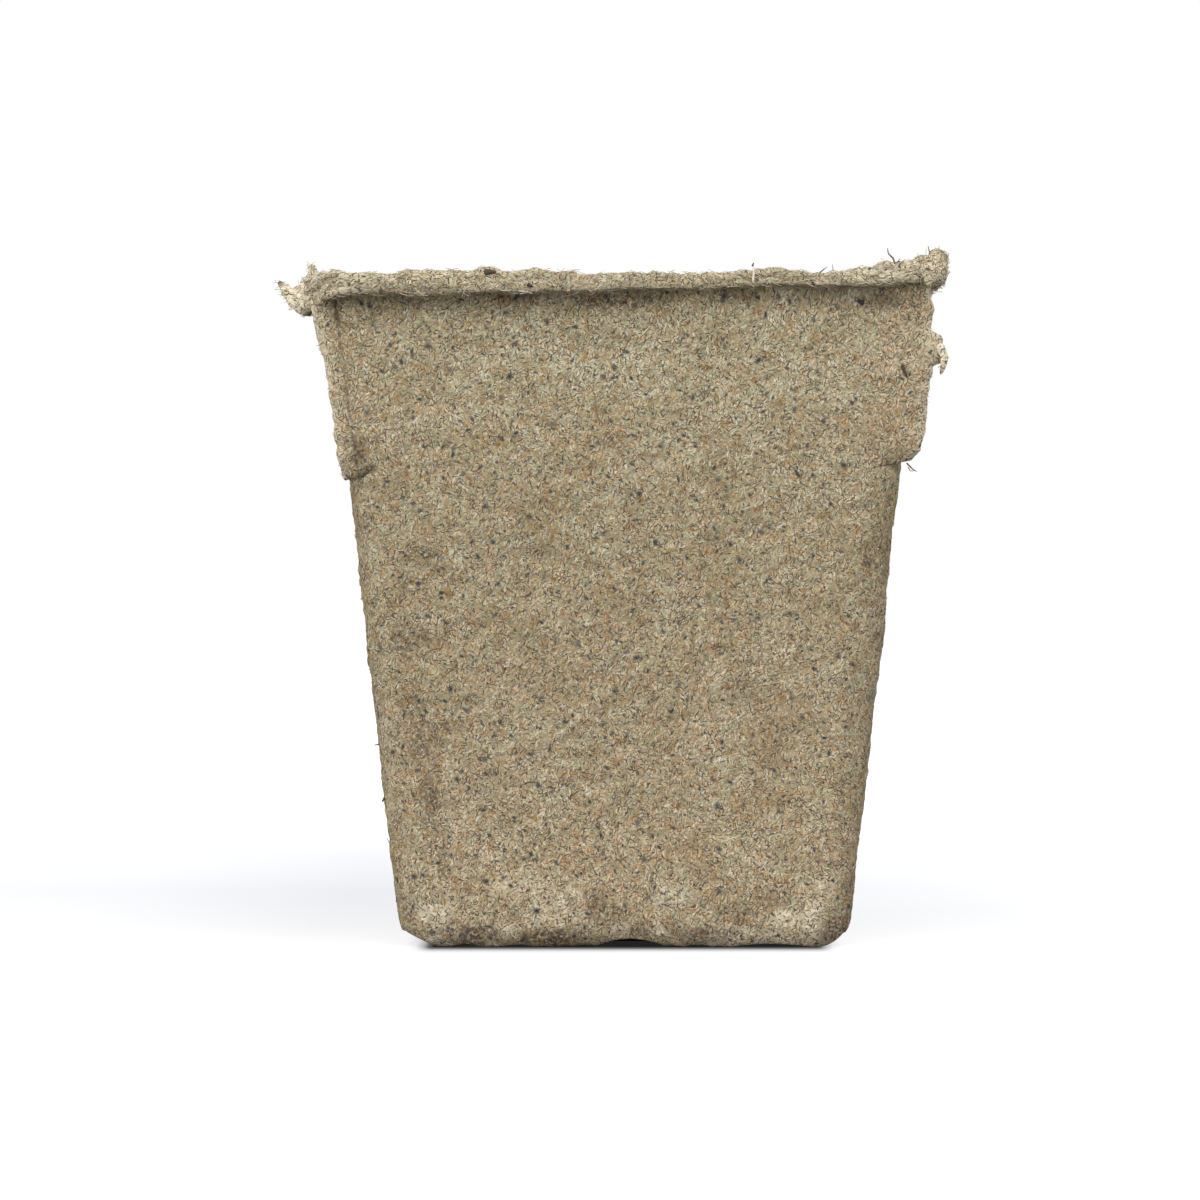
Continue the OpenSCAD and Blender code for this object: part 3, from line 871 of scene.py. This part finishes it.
# What else lies among the fibres, in the same terms
INCLUSIONS = (
    # Chips of pale wood
    (5.30, 1.00, 0.60, 0.18, 0.3, ((0.0, "b39a76"), (1.0, "c2ae8c"))),
    # Brown slivers
    (2.70, 2.00, 0.20, 0.35, 0.3, ((0.0, "6d5640"), (0.5, "8a7052"), (1.0, "77614a"))),
    # Specks of bark, large, middling and small
    (2.60, 1.05, 0.82, 0.28, 0.1, ((0.0, "34373c"), (0.5, "505154"), (1.0, "776e61"))),
    (1.80, 0.80, 0.46, 0.58, 0.2, ((0.0, "3a3c40"), (0.5, "4e4f52"), (1.0, "655e55"))),
    (0.95, 0.52, 0.28, 0.60, 0.3, ((0.0, "47484c"), (1.0, "6a645a"))))
# These lie at any angle
SPECK_SPREAD = 3.6
# Each layer is drawn from another place, a step further on
LAYER_STEP = (7.3, 3.1, 0)
FIRST_SPECK_LAYER = 10
# How far the fibres stand up in the light
FIBRE_HEIGHT = 0.12 * MM


def felt_material(name, lean, spread, stretch, pale_share, clean, rise):
    """Felt: a mat of short fibres with specks and slivers in it, darkened by stains and painted shade, and
    paler where torn, in pale patches and on a painted highlight.

    Clean felt has fewer inclusions, more gaps between its fibres and evener patches. Rise is tone by height.
    """
    material = bpy.data.materials.new(name)
    add = bare_tree(material)
    felt_map = add("ShaderNodeUVMap", uv_map="felt_mm")
    places = []
    for waves, reach in (FIBRE_WANDER, SPECK_WANDER):
        noise = add(NOISE, {"Vector": felt_map, "Scale": waves, "Detail": 1.0})
        noise = add(VECTOR, (noise.outputs["Color"], (-0.5, -0.5, -0.5)), operation="ADD")
        noise = add(VECTOR, {0: noise, "Scale": reach}, operation="SCALE")
        places.append(add(VECTOR, (felt_map, noise), operation="ADD"))
    bent, ragged = places
    leaning = {"Stretch": FIBRE_STRETCH, "Turn": lean}

    colour, height = linear(FIBRE_BASE), 0.0
    for number, (pitch, length, width) in enumerate(FIBRE_LAYERS, 1):
        layer = add("ShaderNodeGroup", {
            **leaning, "Map": bent, "Shift": [number * step for step in LAYER_STEP], "Pitch": pitch,
            "Spread": spread, "Length": length * stretch, "Width": width, "Share": 1.0, "Core": FIBRE_CORE},
            node_tree=MARKS_GROUP).outputs
        tone = add(RAMP, {"Fac": layer["Tone"]}, stops=FIBRE_TONES)
        tint = add(RAMP, {"Fac": layer["Tint"]}, stops=FIBRE_TINTS)
        tone = add(MIX, {FACTOR: 1.0, BELOW: tone, ABOVE: tint}, **TINT)
        colour = add(MIX, {FACTOR: layer["Mask"], BELOW: colour, ABOVE: tone}, **OVER)
        height = add(MATH, (height, layer["Height"]), operation="MAXIMUM")

    for waves, detail, stops in PATCHES:
        noise = add(NOISE, {"Vector": felt_map, "Scale": waves, "Detail": detail, "Roughness": 0.6})
        tint = add(RAMP, {"Fac": noise}, stops=stops)
        colour = add(MIX, {FACTOR: 1.0, BELOW: colour, ABOVE: tint}, **TINT)
    up = add("ShaderNodeSeparateXYZ", (felt_map,)).outputs["Y"]
    up = add(RANGE, {"Value": up, "From Max": WALL_TOP})
    tint = add(RAMP, {"Fac": up}, stops=rise)
    colour = add(MIX, {FACTOR: 1.0, BELOW: colour, ABOVE: tint}, **TINT)

    # Pale felt with its painted highlight, and stains with painted shade, both come in ragged patches
    torn, pale, stain = (add("ShaderNodeAttribute", attribute_name=mark).outputs["Fac"]
                         for mark in ("torn", "pale", "stain"))
    uneven = add(NOISE, {"Vector": felt_map, "Scale": 2.0, "Detail": 3.0})
    uneven = add(RANGE, {
        "Value": uneven, "From Min": 0.35, "From Max": 0.65, "To Min": clean, "To Max": 1.8})
    light = add(MATH, (torn, pale), operation="MAXIMUM")
    light = add(MATH, (light, pale_share), operation="MULTIPLY")
    light = add(MATH, (light, uneven), operation="MULTIPLY", use_clamp=True)
    stain = add(MATH, (stain, uneven), operation="MULTIPLY", use_clamp=True)
    colour = add(MIX, {FACTOR: light, BELOW: colour, ABOVE: linear(PALE_FELT)}, **OVER)
    colour = add(MIX, {FACTOR: stain, BELOW: colour, ABOVE: linear(STAIN_AND_SHADE_FELT)}, **TINT)

    # Specks lie in clumps, with fewer of them where the felt is pale
    clumps = add(NOISE, {"Vector": felt_map, "Scale": 0.35, "Detail": 2.0})
    bare = add(RANGE, {"Value": light, "To Min": 1.0, "To Max": 0.25})
    clumps = add(MATH, (clumps, bare), operation="MULTIPLY")
    for i, (pitch, length, width, share, core, stops) in enumerate(DARK_FIBRES + INCLUSIONS):
        kept = 1 + clean / 2 if i < len(DARK_FIBRES) else 1 - clean
        here = add(MATH, (clumps, 2 * share * kept), operation="MULTIPLY")
        shift = [(i + FIRST_SPECK_LAYER) * step for step in LAYER_STEP]
        layer = add("ShaderNodeGroup", {
            **leaning, "Map": ragged, "Shift": shift, "Pitch": pitch, "Spread": SPECK_SPREAD,
            "Length": length, "Width": width, "Share": here, "Core": core}, node_tree=MARKS_GROUP).outputs
        tone = add(RAMP, {"Fac": layer["Tone"]}, stops=stops)
        colour = add(MIX, {FACTOR: layer["Mask"], BELOW: colour, ABOVE: tone}, **OVER)
    bump = add("ShaderNodeBump", {"Height": height, "Distance": FIBRE_HEIGHT, "Strength": 0.4})
    shader = add("ShaderNodeBsdfPrincipled", {
        "Base Color": colour, "Roughness": 0.95, "Specular IOR Level": 0.15, "Normal": bump})
    add("ShaderNodeOutputMaterial", {"Surface": shader})
    return material


def strand_material(name, stops):
    """Loose strands: each has one tone all along, so that single fibres tell apart."""
    material = bpy.data.materials.new(name)
    add = bare_tree(material)
    tone = add("ShaderNodeAttribute", attribute_name="tone").outputs["Fac"]
    colour = add(RAMP, {"Fac": tone}, stops=stops)
    shader = add("ShaderNodeBsdfPrincipled", {
        "Base Color": colour, "Roughness": 0.8, "Specular IOR Level": 0.2})
    add("ShaderNodeOutputMaterial", {"Surface": shader})
    return material


# Felted wood fibre as it left the hot press: a flat mat of short strands, matt, with no shine at any angle
pressed_felt = felt_material("wood_fibre_felt_pressed", FELT_LEAN, 2.6, 1.0, 0.68, 0.0, BODY_RISE)
# The same felt where it was torn: paler, with more of its strands lying along the edge
torn_felt = felt_material("wood_fibre_felt_torn", 0.0, 2.2, 1.15, 0.4, 0.6, EDGE_RISE)
# Single strands of wood fibre that stand up from the pressed felt: cream to brown
strands = strand_material("wood_fibre_strands_pressed", ((0.0, "7d6d52"), (0.4, "b0a386"), (1.0, "dad1b9")))
# Strands pulled loose along a tear: cleaner, so paler
torn_strands = strand_material("wood_fibre_strands_torn", (
    (0.0, "95866a"), (0.4, "c3b89f"), (1.0, "ece5d5")))
# Splinters of bark and needle that were pulped with the wood: grey-black to rust brown, and a bare one cream
splinters = strand_material("bark_splinters_pulped", (
    (0.0, "3a3b3e"), (0.5, "65523f"), (0.8, "94703f"), (1.0, "ded5c4")))

# Loose fibres, as Geometry Nodes
# How the kinds of strand bend aside and rise, for a length of 1, and how far a strand may roll over
STRAND_BENDS = ((0.08, 0.06), (-0.18, 0.05), (0.25, 0.08), (-0.05, 0.12), (0.4, 0.06))
STRAND_ROLL = 0.4
# How many to a square millimetre, length, thickness, spread and lift, for each kind of piece
FIBRES = {"rim": (2.2, 1.35, 0.06, 0.9, 0.35), "web": (0.9, 0.7, 0.07, np.pi, 0.35)}
PRESSED_FIBRES = (0.5, 0.8, 0.09, np.pi, 0.08)


def fibre_tree():
    """Node tree: curved strands on the felt, where its fuzz is above 0, along its grain where it has one."""
    add, given, tree = group_tree(
        "loose_fibres", "GeometryNodeTree",
        {"Felt": "Geometry", "Fibres per mm2": "Float", "Length mm": "Float", "Thickness mm": "Float",
         "Spread": "Float", "Lift": "Float", "Seed": "Int", "Material": "Material"}, {"Fibres": "Geometry"})
    fuzz, grain = (add("GeometryNodeInputNamedAttribute", {"Name": mark}, data_type=kind)
                   for mark, kind in (("fuzz", "FLOAT"), ("grain", "FLOAT_VECTOR")))
    density = add(MATH, (given["Fibres per mm2"], fuzz), operation="MULTIPLY")
    density = add(MATH, (density, MM ** -2), operation="MULTIPLY")
    spots = add("GeometryNodeDistributePointsOnFaces", {
        "Mesh": given["Felt"], "Density": density, "Seed": given["Seed"]}).outputs
    slim = add(MATH, (given["Thickness mm"], given["Length mm"]), operation="DIVIDE")
    slim = add(MATH, (slim, 0.5), operation="MULTIPLY")
    section = add("GeometryNodeCurvePrimitiveCircle", {"Resolution": 3, "Radius": slim})
    kinds = add("GeometryNodeGeometryToInstance")
    for bend, rise in STRAND_BENDS:
        curve = add("GeometryNodeCurveQuadraticBezier", {
            "Resolution": 5, "Start": (-0.5, 0, -0.02), "Middle": (0.05, bend, rise),
            "End": (0.5, 0.1 * bend, 0.0)})
        strand = add("GeometryNodeCurveToMesh", {
            "Curve": curve, "Profile Curve": section, "Fill Caps": True})
        tree.links.new(strand.outputs[0], kinds.inputs[0])
    flat = add("FunctionNodeAlignRotationToVector", {"Rotation": spots["Rotation"], "Vector": grain},
               axis="X", pivot_axis="Z")
    limits = []
    for sign in (-1.0, 1.0):
        spread = add(MATH, (given["Spread"], sign), operation="MULTIPLY")
        lift = add(MATH, (given["Lift"], sign), operation="MULTIPLY")
        limits.append(add("ShaderNodeCombineXYZ", (STRAND_ROLL * sign, lift, spread)))
    # Each strand's own turn, growth and tone, with the first socket of that kind of value
    chances = []
    for shift, (kind, first, low, high) in enumerate((
            ("FLOAT_VECTOR", 0, *limits), ("FLOAT", 2, 0.5, 1.5), ("FLOAT", 2, 0.0, 1.0)), 1):
        seed = add(MATH, (given["Seed"], float(shift)), operation="ADD")
        chances.append(add("FunctionNodeRandomValue", {first: low, first + 1: high, "Seed": seed},
                           data_type=kind))
    turn, growth, tone = chances
    twist = add("FunctionNodeEulerToRotation", (turn,))
    lie = add("FunctionNodeRotateRotation", {"Rotation": flat, "Rotate By": twist}, rotation_space="LOCAL")
    size = add(MATH, (given["Length mm"], growth), operation="MULTIPLY")
    size = add(MATH, (size, MM), operation="MULTIPLY")
    strewn = add("GeometryNodeInstanceOnPoints", {
        "Points": spots["Points"], "Instance": kinds, "Pick Instance": True, "Rotation": lie, "Scale": size})
    toned = add("GeometryNodeStoreNamedAttribute", {"Geometry": strewn, "Name": "tone", "Value": tone},
                data_type="FLOAT", domain="INSTANCE")
    real = add("GeometryNodeRealizeInstances", (toned,))
    dressed = add("GeometryNodeSetMaterial", {"Geometry": real, "Material": given["Material"]})
    add("NodeGroupOutput", {"Fibres": dressed})
    return tree


FIBRE_TREE = fibre_tree()


def grow_fibres(piece, name, settings):
    """Makes the loose fibres of a piece as one plain mesh."""
    carrier = placed(name + "_carrier", piece.data)
    modifier = carrier.modifiers.new("fibres", "NODES")
    modifier.node_group = FIBRE_TREE
    for item in FIBRE_TREE.interface.items_tree:
        if item.in_out == "INPUT" and item.name in settings:
            modifier[item.identifier] = settings[item.name]
    carrier.update_tag()
    graph = bpy.context.evaluated_depsgraph_get()
    mesh = bpy.data.meshes.new_from_object(carrier.evaluated_get(graph), depsgraph=graph)
    mesh.name = name
    bpy.data.objects.remove(carrier)
    mesh.shade_smooth()
    return placed(name, mesh)


# The pieces
def on_body(piece, cad_node=None):
    """Puts a piece on the one body, and in place of a solid where one is named."""
    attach(piece, "root")
    if cad_node:
        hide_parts(cad_node)


pieces = {"floor": make_floor("floor_felt", pressed_felt)}
for word, side in SIDES.items():
    pieces[f"{word}_wall"] = make_wall(side, f"{word}_wall_felt", pressed_felt)
    pieces[f"rim_{word}"] = make_rim(side, f"rim_{word}_felt", torn_felt)
for word, end_word, side, end in (("front", "left", FRONT, -1), ("front", "right", FRONT, 1),
                                  ("back", "right", BACK, -1), ("back", "left", BACK, 1)):
    pieces[f"web_{word}_{end_word}"] = make_web(side, end, f"web_{word}_{end_word}_felt", torn_felt)
for seed, (cad_node, piece) in enumerate(pieces.items()):
    kind = cad_node.split("_")[0]
    on_body(piece, cad_node)
    number, long, thick, spread, lift = FIBRES.get(kind, PRESSED_FIBRES)
    fibres = grow_fibres(piece, f"{cad_node}_fibres", {
        "Fibres per mm2": number, "Length mm": long, "Thickness mm": thick, "Spread": spread, "Lift": lift,
        "Seed": seed, "Material": torn_strands if kind in FIBRES else strands})
    on_body(fibres)

on_body(make_splinters("front_splinters", splinters))

# Stage, in metres
FLOOR_SPAN = 6.0
floor_mesh = bpy.data.meshes.new("studio_floor")
floor_corners = [(-FLOOR_SPAN, -FLOOR_SPAN, 0), (FLOOR_SPAN, -FLOOR_SPAN, 0), (FLOOR_SPAN, FLOOR_SPAN, 0),
                 (-FLOOR_SPAN, FLOOR_SPAN, 0)]
floor_mesh.from_pydata(floor_corners, [], [(0, 1, 2, 3)])
studio_floor = placed("studio_floor", floor_mesh)

# White paper: it glows for the camera, so that shadows on it stay faint, and a contact shadow is painted on
# it under and close to the foot
# The painted contact shadow begins this far inside the foot's sides, is this many times narrower there, and
# fades out over this length in front
DIM_INSIDE = 2 * MM
DIM_NARROW = 4.0
DIM_LENGTH = 0.014
DIM_STOPS = ((0.0, 0.02), (0.2, 0.15), (0.4, 0.55), (0.65, 0.88), (1.0, 1.0))
# A soft shadow of the pot is painted on the paper behind its front: a little greyer and bluer, most of all
# near the pot and to its left, and white far off
SHADE_BACK = 0.5
SHADE_STOPS = ((0.0, "e9e9eb"), (0.08, "e1e2e4"), (0.23, "dadce0"), (0.42, "e2e4e7"), (0.58, "f0f0f0"),
               (1.0, "ffffff"))
SHADE_SIDE = 0.1
SIDE_STOPS = ((0.0, 0.7), (0.12, 0.75), (0.3, 1.0), (0.65, 0.8), (0.75, 0.7), (0.9, 0.4))
WHITE, PAPER_GREY = linear("ffffff"), linear("8c8c8c")

paper = bpy.data.materials.new("white_studio_paper")
add = bare_tree(paper)
spot = add("ShaderNodeTexCoord").outputs["Object"]
across, depth, _ = add("ShaderNodeSeparateXYZ", (spot,)).outputs
foot = (half_at(0) - FOOT_IN) * MM
spot = add(VECTOR, (spot,), operation="ABSOLUTE")
spot = add(VECTOR, (spot, (foot - DIM_INSIDE, foot, 0)), operation="SUBTRACT")
spot = add(VECTOR, (spot, (0, 0, 0)), operation="MAXIMUM")
spot = add(VECTOR, (spot, (DIM_NARROW / DIM_LENGTH, 1 / DIM_LENGTH, 0)), operation="MULTIPLY")
away = add(VECTOR, (spot,), operation="LENGTH")
painted_contact_shadow = add(RAMP, {"Fac": away}, stops=DIM_STOPS)
shade = add(RANGE, {"Value": depth, "From Min": -foot, "From Max": SHADE_BACK})
shade = add(RAMP, {"Fac": shade}, stops=SHADE_STOPS)
# The painted shadow is deepest a little to the pot's left
beside = add(RANGE, {"Value": across, "From Min": -SHADE_SIDE, "From Max": SHADE_SIDE})
beside = add(RAMP, {"Fac": beside}, stops=SIDE_STOPS)
shade = add(MIX, {FACTOR: beside, BELOW: WHITE, ABOVE: shade}, **OVER)
seen = add(MIX, {FACTOR: 1.0, BELOW: shade, ABOVE: painted_contact_shadow}, **TINT)
to_camera = add("ShaderNodeLightPath").outputs["Is Camera Ray"]
glowing = add("ShaderNodeEmission", {"Color": seen, "Strength": to_camera})
faint = add(MIX, {FACTOR: 1.0, BELOW: seen, ABOVE: PAPER_GREY}, **TINT)
grey = add(MIX, {FACTOR: to_camera, BELOW: PAPER_GREY, ABOVE: faint}, **OVER)
plain = add("ShaderNodeBsdfDiffuse", {"Color": grey})
both = add("ShaderNodeAddShader", (plain, glowing))
add("ShaderNodeOutputMaterial", {"Surface": both})
floor_mesh.materials.append(paper)

# The sky lights evenly from all round; the camera sees it as plain white
world = bpy.data.worlds.new("soft_studio")
bpy.context.scene.world = world
add = bare_tree(world)
to_camera = add("ShaderNodeLightPath").outputs["Is Camera Ray"]
lit = add("ShaderNodeBackground", {"Color": linear("f4f8ff"), "Strength": 0.38})
seen = add("ShaderNodeBackground", {"Color": WHITE, "Strength": 1.0})
sky = add("ShaderNodeMixShader", (to_camera, lit, seen))
add("ShaderNodeOutputWorld", {"Surface": sky})

# Square lamps: place and size in metres, and power. They look at the pot's axis, a third of the way up
LAMPS = {"key_softbox": ((0.03, -1.03, 0.85), 1.4, 17.2),
         "right_softbox": ((0.8, -0.55, 0.55), 0.4, 3.0),
         "left_softbox": ((-0.95, -0.35, 0.5), 0.4, 5.8)}
LAMP_AIM = half_at(0) * MM
for name, (place, size, power) in LAMPS.items():
    lamp_data = bpy.data.lights.new(name, "AREA")
    lamp_data.size = size
    lamp_data.energy = power
    lamp_data.color = linear("fdf9f3")[:3]
    lamp = placed(name, lamp_data)
    lamp.location = place
    across, deep, high = np.array(place) - (0, 0, LAMP_AIM)
    lamp.rotation_euler = (np.arctan2(np.hypot(across, deep), high), 0, np.arctan2(across, -deep))

# Camera: level, in front and a little left of the middle. The picture's side and focal length are in pixels
PHOTO_SIDE = 1200
PHOTO_FOCAL = 4860
CAMERA_PLACE = (-3.1, -640, 43.8)
camera_data = bpy.data.cameras.new("camera")
camera_data.sensor_width = 36
camera_data.lens = camera_data.sensor_width * PHOTO_FOCAL / PHOTO_SIDE
camera = placed("camera", camera_data)
camera.location = [axis * MM for axis in CAMERA_PLACE]
camera.rotation_euler = (np.pi / 2, 0, 0)
bpy.context.scene.camera = camera
bpy.context.scene.view_settings.view_transform = "Standard"
